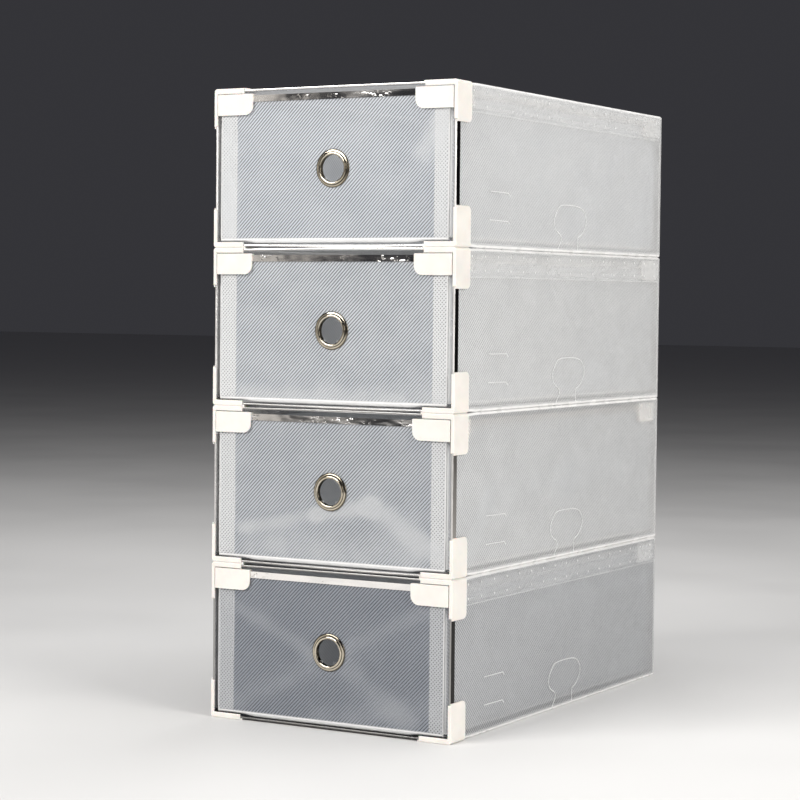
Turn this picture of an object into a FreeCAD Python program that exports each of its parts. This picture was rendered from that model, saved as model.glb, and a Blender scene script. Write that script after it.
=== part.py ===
"""A column of four identical drawer-type shoe boxes, each a folded polypropylene sleeve with a pull-out drawer.

Frame: +Z up, -Y is the front, millimetres. The origin is the middle of the column's footprint, on the floor.
Every box is drawn in its own box frame first: x = 0 on the centre plane, y = 0 at the front face of the corner
brackets, z = 0 at the underside of the bottom brackets. Boxes are then copied up the column.
"""

import FreeCAD
import Part

import math
import os

from FreeCAD import Vector

# Driving dimensions of one box
BOX_COUNT = 4
BOX_WIDTH = 184.0  # over the corner brackets
BOX_DEPTH = 322.0  # front of the brackets to the back of the sleeve
BOX_HEIGHT = 105.0  # over the brackets, which is also the stacking pitch
SHEET = 0.7  # polypropylene sheet
METAL = 0.3  # folded stainless strip
RUN_GAP = 0.6  # drawer to the side strips
TOP_GAP = 0.4  # drawer to the brackets above it
GLIDE_GAP = 0.3  # drawer floor to the bottom brackets

# Corner brackets of the sleeve: a front flange with an outer wall behind it
BRACKET_WALL = 0.9
BRACKET_FLANGE = 1.0
BRACKET_BAND_X = 2.5  # widths of the flange seen from the front: its upright arm and its level arm
BRACKET_BAND_Z = 3.6
BRACKET_ARM_X = 23.5
BRACKET_ARM_Z = 25.0
BRACKET_DEPTH = 19.5
BRACKET_OUTER_RADIUS = 2.0
BRACKET_END_RADIUS = 4.0
BRACKET_EDGE_FILLET = 0.7
BRACKET_WALL_OVERHANG = 1.2  # the outer wall's end passes the flange's end by this

# Folded strips round the sleeve's mouth
MOUTH_STRIP_WIDTH = 1.4
MOUTH_STRIP_DEPTH = 5.0

# Sleeve sheet
FOLD_RADIUS = 1.0
SEAM_HEIGHT = 18.0
SEAM_SIDES = {1: 1, 2: -1, 3: 1, 4: 1}  # +1 when the welded seam is on the right of that box
BACK_FLAP_SIDE = 34.0
BACK_FLAP_CHAMFER = 8.0

# Die cuts in both sides of the sleeve
CUT_WIDTH = 0.5
SLIT_START_Y = 47.0
SLIT_LENGTH = 26.0
SLIT_HEIGHTS = (18.5, 37.0)
TAB_CENTRE_Y = 167.0
TAB_TOP_Z = 32.5
TAB_WAIST_Z = 10.6
TAB_FOOT_Z = 3.0
TAB_BELLY_Z = 22.0
TAB_TOP_HALF = 14.5
TAB_BELLY_HALF = 26.5
TAB_WAIST_HALF = 12.0
TAB_FOOT_HALF = 15.0

# Drawer
DRAWER_REAR_Y = 317.0  # back of the rear caps
CAP_FRONT_Y = 0.2
CAP_WALL = 1.0
CAP_TOP_WALL = 0.9
CAP_LEG = 27.5
CAP_HEIGHT = 13.7
CAP_INNER_HEIGHT = 8.0
CAP_CORNER_RADIUS = 6.0
CAP_EDGE_FILLET = 0.4
RIM_STRIP_DEPTH = 4.3
PANEL_MARGIN = 2.6  # the end panels are this much narrower than the drawer at each side
FLAP_WIDTH = 12.4
FLAP_CHAMFER = 5.0
FLAP_CLEARANCE = 0.3
FLAP_RISE = 1.2

# Finger ring: a rolled eyelet clinched over a washer
RING_Z = 51.0
HOLE_RADIUS = 8.8
RING_OUTER_RADIUS = 12.5
RING_WALL = 0.5
RING_HEIGHT = 1.4  # front bead, proud of the drawer front
BEAD_WIDTH = 1.9
RING_FIT_GAP = 0.1
WASHER_OUTER_RADIUS = 11.3
WASHER_THICKNESS = 0.6
CLINCH_OUTER_RADIUS = 10.3
CLINCH_THICKNESS = 0.6

# Derived positions in the box frame
HALF_WIDTH = BOX_WIDTH / 2
MID_HEIGHT = BOX_HEIGHT / 2
STRIP_OUTER_X = HALF_WIDTH - BRACKET_WALL
STRIP_OUTER_Z = BOX_HEIGHT - BRACKET_WALL
STRIP_INNER_X = STRIP_OUTER_X - MOUTH_STRIP_WIDTH
STRIP_INNER_Z = STRIP_OUTER_Z - MOUTH_STRIP_WIDTH
SLEEVE_HALF_X = STRIP_OUTER_X - METAL
SLEEVE_TOP_Z = STRIP_OUTER_Z - METAL
SLEEVE_BOTTOM_Z = BOX_HEIGHT - SLEEVE_TOP_Z
SLEEVE_FRONT_Y = BRACKET_FLANGE + METAL
STRIP_END_Y = BRACKET_FLANGE + MOUTH_STRIP_DEPTH

CAP_OUTER_X = STRIP_INNER_X - RUN_GAP
CAP_TOP_Z = BOX_HEIGHT - BRACKET_BAND_Z - TOP_GAP
RIM_OUTER_X = CAP_OUTER_X - CAP_WALL
RIM_TOP_Z = CAP_TOP_Z - CAP_TOP_WALL
TRAY_HALF_X = RIM_OUTER_X - METAL
TRAY_TOP_Z = RIM_TOP_Z - METAL
TRAY_BOTTOM_Z = BRACKET_BAND_Z + GLIDE_GAP
TRAY_FRONT_Y = CAP_FRONT_Y + CAP_WALL + METAL
TRAY_BACK_Y = DRAWER_REAR_Y - CAP_WALL - METAL
TRAY_MID_Y = (TRAY_FRONT_Y + TRAY_BACK_Y) / 2
RIM_STRIP_WIDTH = SHEET + 2 * METAL


def block(x0, x1, y0, y1, z0, z1):
    """Box between two corners."""
    return Part.makeBox(x1 - x0, y1 - y0, z1 - z0, Vector(x0, y0, z0))


def prism(points, direction):
    """Polygon through the points, extruded."""
    wire = Part.makePolygon(points + [points[0]])
    return Part.Face(wire).extrude(direction)


def fuse(shapes):
    """One clean solid from several that touch."""
    return shapes[0].multiFuse(shapes[1:]).removeSplitter()


def mirrored(shape, axis, at):
    """The shape's mirror image in the plane across axis ("x", "y" or "z") at that coordinate."""
    normal = {"x": Vector(1, 0, 0), "y": Vector(0, 1, 0), "z": Vector(0, 0, 1)}[axis]
    return shape.mirror(normal * at, normal)


def rounded_bar(half_x, radius, stations):
    """Solid bar along Y with a rounded section; each station is (y, floor height, top height)."""
    outline = [(y, low) for y, low, high in stations] + [(y, high) for y, low, high in reversed(stations)]
    bar = prism([Vector(-half_x, y, z) for y, z in outline], Vector(2 * half_x, 0, 0))
    along = [e for e in bar.Edges if abs(e.tangentAt(e.FirstParameter).y) > 0.9]
    return bar.makeFillet(radius, along)


def fillet_where(shape, radius, wanted):
    """Rounds the edges that wanted(edge) picks."""
    return shape.makeFillet(radius, [e for e in shape.Edges if wanted(e)])


def edge_at(x=None, y=None, z=None, tolerance=1e-4):
    """A test for edges whose middle and both ends lie at the coordinates given."""
    target = {"x": x, "y": y, "z": z}

    def test(edge):
        points = [v.Point for v in edge.Vertexes] + [edge.CenterOfMass]
        return all(
            abs(getattr(p, axis) - value) < tolerance
            for axis, value in target.items()
            if value is not None
            for p in points
        )

    return test


def channel(half, inner_half, depth, width):
    """Folded metal strip along X, outer face at z = 0, open towards +Y, its web starting at y = 0."""
    web = block(-half, half, 0, METAL, -width, 0)
    outer = block(-half, half, 0, depth, -METAL, 0)
    inner = block(-inner_half, inner_half, 0, depth, -width, METAL - width)
    return fuse([web, outer, inner])


# ---- sleeve ----------------------------------------------------------------------------------------------


def tab_face(shrink):
    """The mushroom tab's outline as a face at x = 0, drawn in from the cut line by shrink."""
    y = TAB_CENTRE_Y
    foot = TAB_FOOT_HALF - shrink
    waist = TAB_WAIST_HALF - shrink
    belly = TAB_BELLY_HALF - shrink
    top = TAB_TOP_HALF - shrink
    top_z = TAB_TOP_Z - shrink
    low_left, low_right = Vector(0, y - foot, TAB_FOOT_Z), Vector(0, y + foot, TAB_FOOT_Z)
    neck_left, neck_right = Vector(0, y - waist, TAB_WAIST_Z), Vector(0, y + waist, TAB_WAIST_Z)
    top_left, top_right = Vector(0, y - top, top_z), Vector(0, y + top, top_z)
    edges = [
        Part.LineSegment(low_left, neck_left),
        Part.Arc(neck_left, Vector(0, y - belly, TAB_BELLY_Z), top_left),
        Part.LineSegment(top_left, top_right),
        Part.Arc(top_right, Vector(0, y + belly, TAB_BELLY_Z), neck_right),
        Part.LineSegment(neck_right, low_right),
        Part.LineSegment(low_right, low_left),
    ]
    return Part.Face(Part.Wire([e.toShape() for e in edges]))


def die_cuts():
    """Cutters for the right side: two slits and the line round the mushroom tab, open at the tab's foot."""
    x0 = SLEEVE_HALF_X - SHEET - 0.5
    reach = Vector(SHEET + 1.0, 0, 0)
    cutters = []
    for height in SLIT_HEIGHTS:
        slit = block(x0, x0 + reach.x, SLIT_START_Y, SLIT_START_Y + SLIT_LENGTH, height, height + CUT_WIDTH)
        cutters.append(slit)
    ring = tab_face(0).extrude(reach).cut(tab_face(CUT_WIDTH).extrude(reach))
    ring.translate(Vector(x0, 0, 0))
    cutters.append(ring)
    return cutters


def back_panel():
    """The back: a full panel folded down from the top, and the side flaps folded in inside it."""
    x, low, high = SLEEVE_HALF_X - SHEET, SHEET, BOX_HEIGHT - SHEET
    panel = block(-x, x, BOX_DEPTH - SHEET, BOX_DEPTH, low, high)
    cut = BACK_FLAP_CHAMFER
    outline = [(x, high), (x, low), (x - BACK_FLAP_SIDE, low + cut), (x - BACK_FLAP_SIDE, high - cut)]
    flap = prism([Vector(px, BOX_DEPTH - 2 * SHEET, pz) for px, pz in outline], Vector(0, SHEET, 0))
    return [panel, flap, mirrored(flap, "x", 0)]


def sleeve(seam_side):
    """The outer sleeve: one sheet folded round and welded in a seam at the top of one side.

    Its floor and top part by a little towards the rear, so that boxes sit level on the brackets in front and on
    the sheet's rear edge behind.
    """
    stations = [
        (SLEEVE_FRONT_Y, SLEEVE_BOTTOM_Z, SLEEVE_TOP_Z),
        (STRIP_END_Y, SLEEVE_BOTTOM_Z, SLEEVE_TOP_Z),
        (BOX_DEPTH, 0, BOX_HEIGHT),
    ]
    skin = rounded_bar(SLEEVE_HALF_X, FOLD_RADIUS, stations)
    inner_x = SLEEVE_HALF_X - SHEET
    room = rounded_bar(inner_x, FOLD_RADIUS - SHEET, [(y, low + SHEET, high - SHEET) for y, low, high in stations])
    seam_top = SLEEVE_TOP_Z - SHEET / 2
    seam = block(inner_x - SHEET, inner_x, STRIP_END_Y, BOX_DEPTH - SHEET, seam_top - SEAM_HEIGHT, seam_top)
    if seam_side < 0:
        seam = mirrored(seam, "x", 0)
    body = skin.cut(room).multiFuse([seam] + back_panel())
    cutters = die_cuts()
    cutters += [mirrored(c, "x", 0) for c in cutters]
    return body.cut(Part.makeCompound(cutters))


def mouth_strip(half, inner_half):
    """A strip of the sleeve's mouth, laid along X with its outer face at z = 0."""
    strip = channel(half, inner_half, MOUTH_STRIP_DEPTH, MOUTH_STRIP_WIDTH)
    strip.translate(Vector(0, BRACKET_FLANGE, 0))
    return strip


def top_strip():
    strip = mouth_strip(STRIP_OUTER_X, STRIP_INNER_X)
    strip.translate(Vector(0, 0, STRIP_OUTER_Z))
    return strip


def side_strip():
    """The right-hand strip, between the top and bottom ones."""
    half = STRIP_INNER_Z - MID_HEIGHT
    strip = mouth_strip(half, half)
    strip.rotate(Vector(0, 0, 0), Vector(0, 1, 0), 90)
    strip.translate(Vector(STRIP_OUTER_X, 0, MID_HEIGHT))
    return strip


def bracket():
    """The top right corner bracket."""
    x1, z1 = HALF_WIDTH, BOX_HEIGHT
    x0, z0 = x1 - BRACKET_ARM_X, z1 - BRACKET_ARM_Z
    flange = fuse(
        [
            block(x0, x1, 0, BRACKET_FLANGE, z1 - BRACKET_BAND_Z, z1),
            block(x1 - BRACKET_BAND_X, x1, 0, BRACKET_FLANGE, z0, z1),
        ]
    )
    wall_x0, wall_z0 = x0 - BRACKET_WALL_OVERHANG, z0 - BRACKET_WALL_OVERHANG
    top_wall = block(wall_x0, x1, BRACKET_FLANGE, BRACKET_DEPTH, z1 - BRACKET_WALL, z1)
    side_wall = block(x1 - BRACKET_WALL, x1, BRACKET_FLANGE, BRACKET_DEPTH, wall_z0, z1)
    top_wall = fillet_where(top_wall, BRACKET_END_RADIUS, edge_at(x=wall_x0, y=BRACKET_DEPTH))
    side_wall = fillet_where(side_wall, BRACKET_END_RADIUS, edge_at(y=BRACKET_DEPTH, z=wall_z0))
    shell = fuse([flange, top_wall, side_wall])
    shell = fillet_where(shell, BRACKET_OUTER_RADIUS, edge_at(x=x1, z=z1))
    front_rim = [e for e in shell.Edges if edge_at(y=0)(e)]
    return shell.makeFillet(BRACKET_EDGE_FILLET, front_rim)


# ---- drawer ----------------------------------------------------------------------------------------------


def end_flap():
    """A flap of the right side folded behind the drawer's front."""
    x1 = TRAY_HALF_X - SHEET
    x0 = x1 - FLAP_WIDTH
    y = TRAY_FRONT_Y + SHEET
    top = CAP_TOP_Z - CAP_INNER_HEIGHT - FLAP_CLEARANCE
    low = TRAY_BOTTOM_Z + SHEET + FLAP_RISE
    outline = [(x1, low), (x1, top), (x0, top), (x0, low + FLAP_CHAMFER), (x0 + FLAP_CHAMFER, low)]
    return prism([Vector(px, y, pz) for px, pz in outline], Vector(0, SHEET, 0))


def tray():
    """The drawer's sheet: floor, two sides, front and back, with the sides' flaps folded behind the ends.

    The front and the back stop short of the sides' folds, so that they lie flat on the flaps.
    """
    x, y0, y1 = TRAY_HALF_X, TRAY_FRONT_Y, TRAY_BACK_Y
    z0, z1 = TRAY_BOTTOM_Z, TRAY_TOP_Z
    panel_x = x - PANEL_MARGIN
    solid = fuse([block(-panel_x, panel_x, y0, y1, z0, z1), block(-x, x, y0 + SHEET, y1 - SHEET, z0, z1)])
    room = block(SHEET - x, x - SHEET, y0 + SHEET, y1 - SHEET, z0 + SHEET, z1)
    front_flap = end_flap()
    front_flaps = [front_flap, mirrored(front_flap, "x", 0)]
    rear_flaps = [mirrored(flap, "y", TRAY_MID_Y) for flap in front_flaps]
    body = fuse([solid.cut(room)] + front_flaps + rear_flaps)
    hole_radius = HOLE_RADIUS + RING_WALL + RING_FIT_GAP
    hole = Part.makeCylinder(hole_radius, 3 * SHEET, Vector(0, y0 - SHEET, RING_Z), Vector(0, 1, 0))
    return body.cut(hole)


def rim_strip(half, inner_half):
    """A strip folded over the drawer's rim, along X, with its outer face at y = 0 and its web at z = 0."""
    strip = channel(half, inner_half, RIM_STRIP_DEPTH, RIM_STRIP_WIDTH)
    strip.rotate(Vector(0, 0, 0), Vector(1, 0, 0), -90)
    return mirrored(strip, "y", 0)


def front_rim_strip():
    strip = rim_strip(TRAY_HALF_X, TRAY_HALF_X - RIM_STRIP_WIDTH + METAL)
    strip.translate(Vector(0, TRAY_FRONT_Y - METAL, RIM_TOP_Z))
    return strip


def side_rim_strip():
    """The right side's strip, clear of the front and rear ones."""
    half = (TRAY_BACK_Y - TRAY_FRONT_Y) / 2 - RIM_STRIP_WIDTH
    strip = rim_strip(half, half)
    strip.rotate(Vector(0, 0, 0), Vector(0, 0, 1), 90)
    strip.translate(Vector(RIM_OUTER_X, TRAY_MID_Y, RIM_TOP_Z))
    return strip


def cap():
    """The front right rim cap: two legs over the rim's corner, each an outer wall, a roof and an inner wall."""
    x1, y0, z1 = CAP_OUTER_X, CAP_FRONT_Y, CAP_TOP_Z
    z0 = z1 - CAP_HEIGHT
    thick = 2 * CAP_WALL + RIM_STRIP_WIDTH
    front_leg = block(x1 - CAP_LEG, x1, y0, y0 + thick, z0, z1)
    side_leg = block(x1 - thick, x1, y0, y0 + CAP_LEG, z0, z1)
    front_leg = fillet_where(front_leg, CAP_CORNER_RADIUS, edge_at(x=x1 - CAP_LEG, z=z0))
    side_leg = fillet_where(side_leg, CAP_CORNER_RADIUS, edge_at(y=y0 + CAP_LEG, z=z0))
    body = fuse([front_leg, side_leg])
    roof = z1 - CAP_TOP_WALL
    slot_y, slot_x = y0 + CAP_WALL, x1 - CAP_WALL
    room_top = z1 - CAP_INNER_HEIGHT
    reach = CAP_LEG + 1
    slots = [
        block(x1 - reach, slot_x, slot_y, slot_y + RIM_STRIP_WIDTH, z0 - 1, roof),
        block(slot_x - RIM_STRIP_WIDTH, slot_x, slot_y, y0 + reach, z0 - 1, roof),
        block(x1 - reach, slot_x, slot_y, y0 + reach, z0 - 1, room_top),
    ]
    body = body.cut(Part.makeCompound(slots))
    return body.makeFillet(CAP_EDGE_FILLET, [e for e in body.Edges if edge_at(z=z1)(e)])


def revolve_at_ring(outline):
    """Revolves a closed (radius, y) outline of line segments and 3-point arcs about the finger hole's axis."""
    edges = []
    for piece in outline:
        points = [Vector(r, y, 0) for r, y in piece]
        curve = Part.LineSegment(*points) if len(points) == 2 else Part.Arc(*points)
        edges.append(curve.toShape())
    solid = Part.Face(Part.Wire(edges)).revolve(Vector(0, 0, 0), Vector(0, 1, 0), 360)
    solid.translate(Vector(0, 0, RING_Z))
    return solid


def finger_ring():
    """The eyelet: an outer flange, a rolled inner bead, a barrel through the sheet and the clinched back."""
    face_y = TRAY_FRONT_Y
    bead_y = face_y - RING_HEIGHT
    back_y = face_y + SHEET + WASHER_THICKNESS
    barrel = HOLE_RADIUS + RING_WALL
    bead_outer = HOLE_RADIUS + BEAD_WIDTH
    valley_y = face_y - 0.55 * RING_HEIGHT
    flange_mid = (bead_outer + RING_OUTER_RADIUS) / 2
    clinch_y = back_y + CLINCH_THICKNESS
    return revolve_at_ring(
        [
            [(HOLE_RADIUS, clinch_y), (HOLE_RADIUS, valley_y)],
            [(HOLE_RADIUS, valley_y), ((HOLE_RADIUS + bead_outer) / 2, bead_y), (bead_outer, valley_y)],
            [(bead_outer, valley_y), (flange_mid, valley_y - 0.25), (RING_OUTER_RADIUS, face_y)],
            [(RING_OUTER_RADIUS, face_y), (barrel, face_y)],
            [(barrel, face_y), (barrel, back_y)],
            [(barrel, back_y), (CLINCH_OUTER_RADIUS, back_y)],
            [(CLINCH_OUTER_RADIUS, back_y), (barrel + 0.45, clinch_y + 0.1), (HOLE_RADIUS, clinch_y)],
        ]
    )


def ring_washer():
    """The washer behind the sheet that the eyelet is clinched over."""
    y0 = TRAY_FRONT_Y + SHEET
    y1 = y0 + WASHER_THICKNESS
    r0 = HOLE_RADIUS + RING_WALL + RING_FIT_GAP
    r1 = WASHER_OUTER_RADIUS
    return revolve_at_ring(
        [
            [(r0, y0), (r0, y1)],
            [(r0, y1), (r1 - WASHER_THICKNESS, y1)],
            [
                (r1 - WASHER_THICKNESS, y1),
                (r1 - WASHER_THICKNESS * (1 - math.sqrt(0.5)), y0 + WASHER_THICKNESS * math.sqrt(0.5)),
                (r1, y0),
            ],
            [(r1, y0), (r0, y0)],
        ]
    )


# ---- assembly --------------------------------------------------------------------------------------------


def frame_nodes():
    """Every piece of the sleeve's frame, which is the same on all boxes."""
    top = top_strip()
    side = side_strip()
    corner = bracket()
    low_corner = mirrored(corner, "z", MID_HEIGHT)
    return {
        "mouth_strip_top": [top],
        "mouth_strip_bottom": [mirrored(top, "z", MID_HEIGHT)],
        "mouth_strip_sides": [side, mirrored(side, "x", 0)],
        "bracket_top_right": [corner],
        "bracket_top_left": [mirrored(corner, "x", 0)],
        "bracket_bottom_right": [low_corner],
        "bracket_bottom_left": [mirrored(low_corner, "x", 0)],
    }


def drawer_nodes():
    """Every piece of a drawer, which is the same in all boxes."""
    front = front_rim_strip()
    side = side_rim_strip()
    corner = cap()
    front_caps = [corner, mirrored(corner, "x", 0)]
    return {
        "drawer_tray": [tray()],
        "drawer_rim_strip_front": [front],
        "drawer_rim_strips": [side, mirrored(side, "x", 0), mirrored(front, "y", TRAY_MID_Y)],
        "drawer_front_caps": front_caps,
        "drawer_rear_caps": [mirrored(c, "y", TRAY_MID_Y) for c in front_caps],
        "finger_ring": [finger_ring()],
        "ring_washer": [ring_washer()],
    }


def write(name, shapes, level):
    """Writes one node of the box at that level of the column."""
    shift = Vector(0, -BOX_DEPTH / 2, level * BOX_HEIGHT)
    placed = [s.translated(shift) for s in shapes]
    for s in placed:
        if not s.isValid() or len(s.Solids) != 1:
            raise ValueError(f"{name}: not one valid solid")
    shape = placed[0].Solids[0] if len(placed) == 1 else Part.makeCompound([s.Solids[0] for s in placed])
    shape.exportStep(os.path.join("parts", name + ".step"))


def main():
    os.makedirs("parts", exist_ok=True)
    sleeves = {side: [sleeve(side)] for side in sorted(set(SEAM_SIDES.values()))}
    shared = {**frame_nodes(), **drawer_nodes()}
    for number in range(1, BOX_COUNT + 1):
        nodes = {"sleeve": sleeves[SEAM_SIDES[number]], **shared}
        for name, shapes in nodes.items():
            write(f"box{number}_{name}", shapes, number - 1)
    print("wrote", BOX_COUNT * (len(shared) + 1), "nodes")


main()
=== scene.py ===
"""The looks of a column of drawer shoe boxes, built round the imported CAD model.

Each box is a ribbed, translucent polypropylene sleeve with a drawer of the same sheet. Both sheets are built
here, folded along their real creases, and stand for their plain CAD solids. So do the steel strips round the
sleeve's mouth, which bow a little, and the drawer's rolled finger ring. The brackets, caps, rim strips and
washers are the CAD nodes with their own materials. Lengths are metres, in the frame of the CAD model.
"""

import math

import bmesh
import bpy
from mathutils import Matrix, Vector, noise


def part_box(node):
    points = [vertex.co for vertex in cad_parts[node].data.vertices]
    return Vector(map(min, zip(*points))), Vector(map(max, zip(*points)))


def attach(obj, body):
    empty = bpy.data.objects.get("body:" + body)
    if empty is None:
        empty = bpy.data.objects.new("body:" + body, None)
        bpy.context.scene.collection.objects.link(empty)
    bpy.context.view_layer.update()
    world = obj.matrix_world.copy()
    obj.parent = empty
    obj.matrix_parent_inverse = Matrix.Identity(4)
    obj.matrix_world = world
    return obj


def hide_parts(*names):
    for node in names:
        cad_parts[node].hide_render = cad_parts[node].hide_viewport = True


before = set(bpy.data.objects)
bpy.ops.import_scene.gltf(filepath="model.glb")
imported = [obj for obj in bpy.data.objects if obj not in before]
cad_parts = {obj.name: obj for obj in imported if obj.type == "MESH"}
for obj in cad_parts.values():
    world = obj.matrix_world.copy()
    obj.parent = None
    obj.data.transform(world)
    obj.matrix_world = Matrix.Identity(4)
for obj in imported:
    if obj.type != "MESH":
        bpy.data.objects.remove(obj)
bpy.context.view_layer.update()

MM = 0.001
BOXES = (1, 2, 3, 4)  # from the floor up

# The sheet
SHEET = 0.7 * MM  # its thickness
FOLD_RADIUS = 0.9 * MM
FOLD_STEPS = 4
GRID_STEP = 6 * MM
EDGE_BAND = 0.9 * MM  # how far the white of a crease or a cut edge reaches
MARK_WIDTH = 0.3 * MM  # over how much of it a look changes at once
RIB_PITCH = 1.77 * MM

# Its looks
SHEET_IOR = 1.49
SHEET_WHITE = 0.97  # the level of grey of its whitest places
RIB_CREST = (0.20, 0.58)  # where a rib's milky crest starts and is full, as shares of its height
DIM_COLOUR = (0.49, 0.505, 0.54, 1)  # what the colour of a wholly dimmed sheet is multiplied by
DIM_SPARED = 0.45  # how much less it is dimmed where a second layer backs it
# How much dimmer each box's sheets look, as less light falls on the lower boxes
DIMNESS = {1: 1.0, 2: 0.22, 3: 0.0, 4: 0.14}
# The drawer's front takes all of it. The sleeve, the drawer's tray and its rear panel take these shares.
SLEEVE_DIM, TRAY_DIM, REAR_DIM = 0.56, 0.3, 0.1
# How hazy the parts without named creases look: their own milkiness and painted sheen in one value
LEVEL_HAZE, BACK_HAZE, TRAY_HAZE, END_FLAP_HAZE = 0.2, 0.15, 0.8, 0.5

# How far the sheets stand out of flat, in millimetres: evenly, and by their unevenness
SIDE_BOW, SIDE_WAVE = 0.4, 0.5  # the sleeve's sides, outward
LEVEL_SAG, LEVEL_WAVE = 0.35, 0.25  # its floor and top, downward
PANEL_BOW, PANEL_WAVE = 0.6, 0.7  # the drawer's end panels, inward
TRAY_SIDE_WAVE, TRAY_FLOOR_WAVE = 0.3, 0.1

# The sleeve
SEAM_HEIGHT = 18 * MM
SETTLED = 0.94  # how far its floor and top have parted once clear of the brackets, as a share of the whole
SETTLED_RUN = 26 * MM  # from the mouth
PAINTED_GLOW = 0.85  # how white the sides' lower edge is painted, a painted highlight
PAINTED_GLOW_HEIGHT = 3.2 * MM  # how far up that painted highlight reaches
CAP_SHOW = 0.3  # how pale the sleeve's sides are painted where the drawer's rear caps would show through
SEAM_SIDE = {1: 1, 2: -1, 3: 1, 4: 1}  # +1 where the welded seam is on the right
WELD_PITCH = 18 * MM
WELD_START = 24 * MM
WELD_COUNT = 17
WELD_ROWS = (5.3 * MM, 14.5 * MM)  # below the sleeve's top
WELD_RADIUS, WELD_HEIGHT = 0.85 * MM, 0.22 * MM
BACK_FLAP = 34 * MM
BACK_FLAP_CHAMFER = 8 * MM
BACK_FLAP_DEPTH = 1.6  # how far in front of the rear its middle lies, in sheets
SLIT_START, SLIT_END = 47, 73  # die cuts in millimetres from the box's front and base
SLIT_HEIGHTS = (18.5, 37)
TAB_CENTRE = 167
TAB_WIDTHS = (14.5, 26.5, 12, 19)  # half widths at the tongue's top, belly, waist and foot
LIP_HEIGHT = 0.22 * MM
LIP_WIDTH = 0.36 * MM

# The steel strips round its mouth
METAL = 0.3 * MM  # their thickness
STRIP_WIDTH = 1.4 * MM
STRIP_FOLD = 0.45 * MM
STRIP_CROWN = 0.03 * MM
STRIP_PARTS = 24
STRIP_SKEW = 1.5  # above 1, the strips stand out furthest right of their middle
# How far each long strip stands out in millimetres, how far its face leans back in degrees, and its look
# Looks other than level are satin copies of the same steel with painted shade: darker base colours
STRIP_SET = {
    1: {"bottom": (0.0, -1, "dark"), "top": (0.3, 1, "satin_shaded")},
    2: {"bottom": (0.8, 1, "satin_shaded"), "top": (0.7, 0, "satin_shaded")},
    3: {"bottom": (0.8, 2, "satin_shaded"), "top": (0.85, -2, "level")},
    4: {"bottom": (0.85, 10, "level"), "top": (0.2, -3, "level")},
}
# Each box's upright strips: the painted shade of their satin front and the painted dark reflection of their
# outermost leg
UPRIGHT_PAINTED_SHADES = {1: (0.35, 0.02), 2: (0.7, 0.5), 3: (0.93, 0.08), 4: (0.93, 0.08)}
LEG_FADE = (0.12 * MM, 0.04 * MM)  # how far inside their outermost face the leg's painted dark reflection starts and is full

# The drawer
PANEL_MARGINS = (0.6 * MM, 1.7 * MM)  # how far the end panels stop short of its left and right sides
PANEL_FLAT = 0.3  # where they are taken to start on the flat sheet, which only places their ribs
DRAWER_FOLD = 2.3 * MM  # radius of the sides' folds
PANEL_FOLD = 1.2 * MM  # radius of the end panels' fold at the floor
FLOOR_SAG = 1.1 * MM  # how far the floor hangs between the sleeve's bottom brackets
SAG_START, SAG_FULL = 68 * MM, 58 * MM  # from the centre line
SIDE_SPREAD = 1.55 * MM  # how far the sides spread out below the rim and above the floor
SPREAD_RUNS = (4 * MM, 9 * MM)  # reached over these heights, from the floor and from the rim
END_FLAP = 12.7 * MM  # from the drawer's side to the flap's edge
END_FLAP_CHAMFER = 5 * MM
END_FLAP_GAP = 0.1 * MM  # between the flap and its end panel
END_FLAP_WHITE = 0.6  # how white its fold is
FLAP_RISE, FLAP_DROP = 1.9 * MM, 7 * MM  # where the flaps start and stop, above the floor and below the rim
HOLE_SNAP = 0.55  # grid points this near the ring's hole, in steps of the grid, are moved on to its edge
RING_GRIP = 3.1 * MM  # how far the ring laps over the sheet round its hole
RING_BORE, RING_GROOVE = 8.8 * MM, 10.7 * MM  # radii of its bore and of the groove round its bead
RING_VALLEY = 0.77 * MM  # how far the groove stands off the sheet
RING_WALL, RING_BACK = 0.5 * MM, 1.3 * MM  # its barrel's wall, and how far the barrel runs back
RING_CLINCH = (1.0 * MM, 0.5 * MM)  # how far its back is turned out, at its front and at its rear
RING_LIP = (0.6 * MM, 0.65 * MM)  # how thick its back is, at its edge and at the bore


# ---- node trees ------------------------------------------------------------------------------------------


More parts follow.
